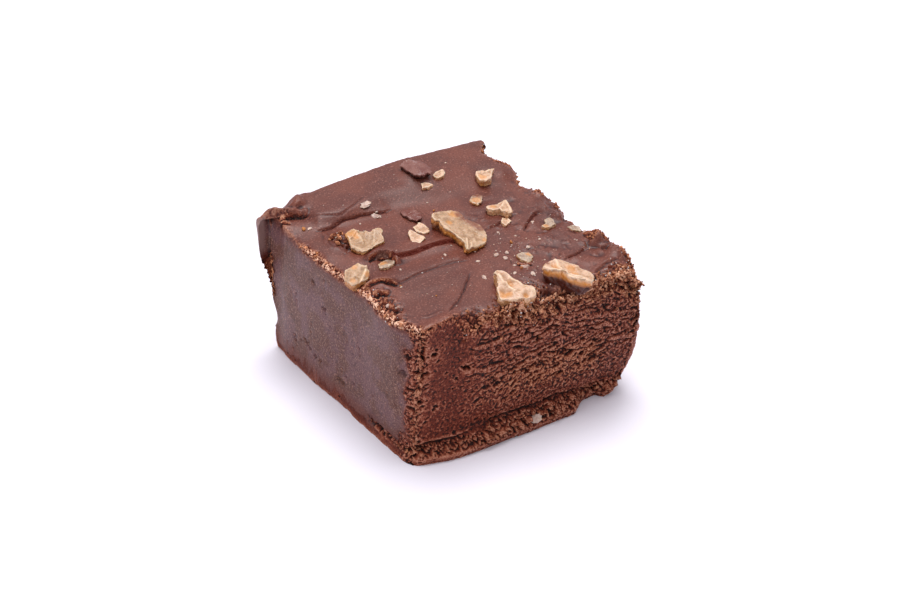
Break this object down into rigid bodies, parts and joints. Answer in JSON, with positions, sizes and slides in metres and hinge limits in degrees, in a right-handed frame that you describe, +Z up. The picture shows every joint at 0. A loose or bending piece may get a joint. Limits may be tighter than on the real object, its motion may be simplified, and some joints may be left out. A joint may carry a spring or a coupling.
{
  "type": "chocolate fudge square",
  "caption": "Hand-cut square of chocolate fudge with a swirled satin top, torn crumbly front, foot lip and chopped walnut pressed into the top.",
  "frame": {"origin": "middle of the block's footprint, on the surface it rests on", "axes": "+Z up out of the spread top, -Y out of the torn front, -X out of the smooth cut left side"},
  "size_m": [0.0515, 0.0487, 0.0296],
  "materials": {
    "fudge": "satin",
    "walnut": "matte"
  },
  "bodies": {
    "root": {"fudge": "fudge", "walnut_left": "walnut", "walnut_centre": "walnut", "walnut_spike": "walnut", "walnut_right": "walnut", "walnut_back_right": "walnut", "walnut_bird": "walnut", "walnut_left_rim": "walnut", "walnut_left_sunk": "walnut", "walnut_pair_back": "walnut", "walnut_pair_front": "walnut", "walnut_back_flake": "walnut", "walnut_back_chip": "walnut", "walnut_bird_chip": "walnut", "walnut_smeared": "walnut", "walnut_right_sunk": "walnut", "walnut_right_flat": "walnut", "walnut_front_sunk": "walnut"}
  },
  "joints": []
}
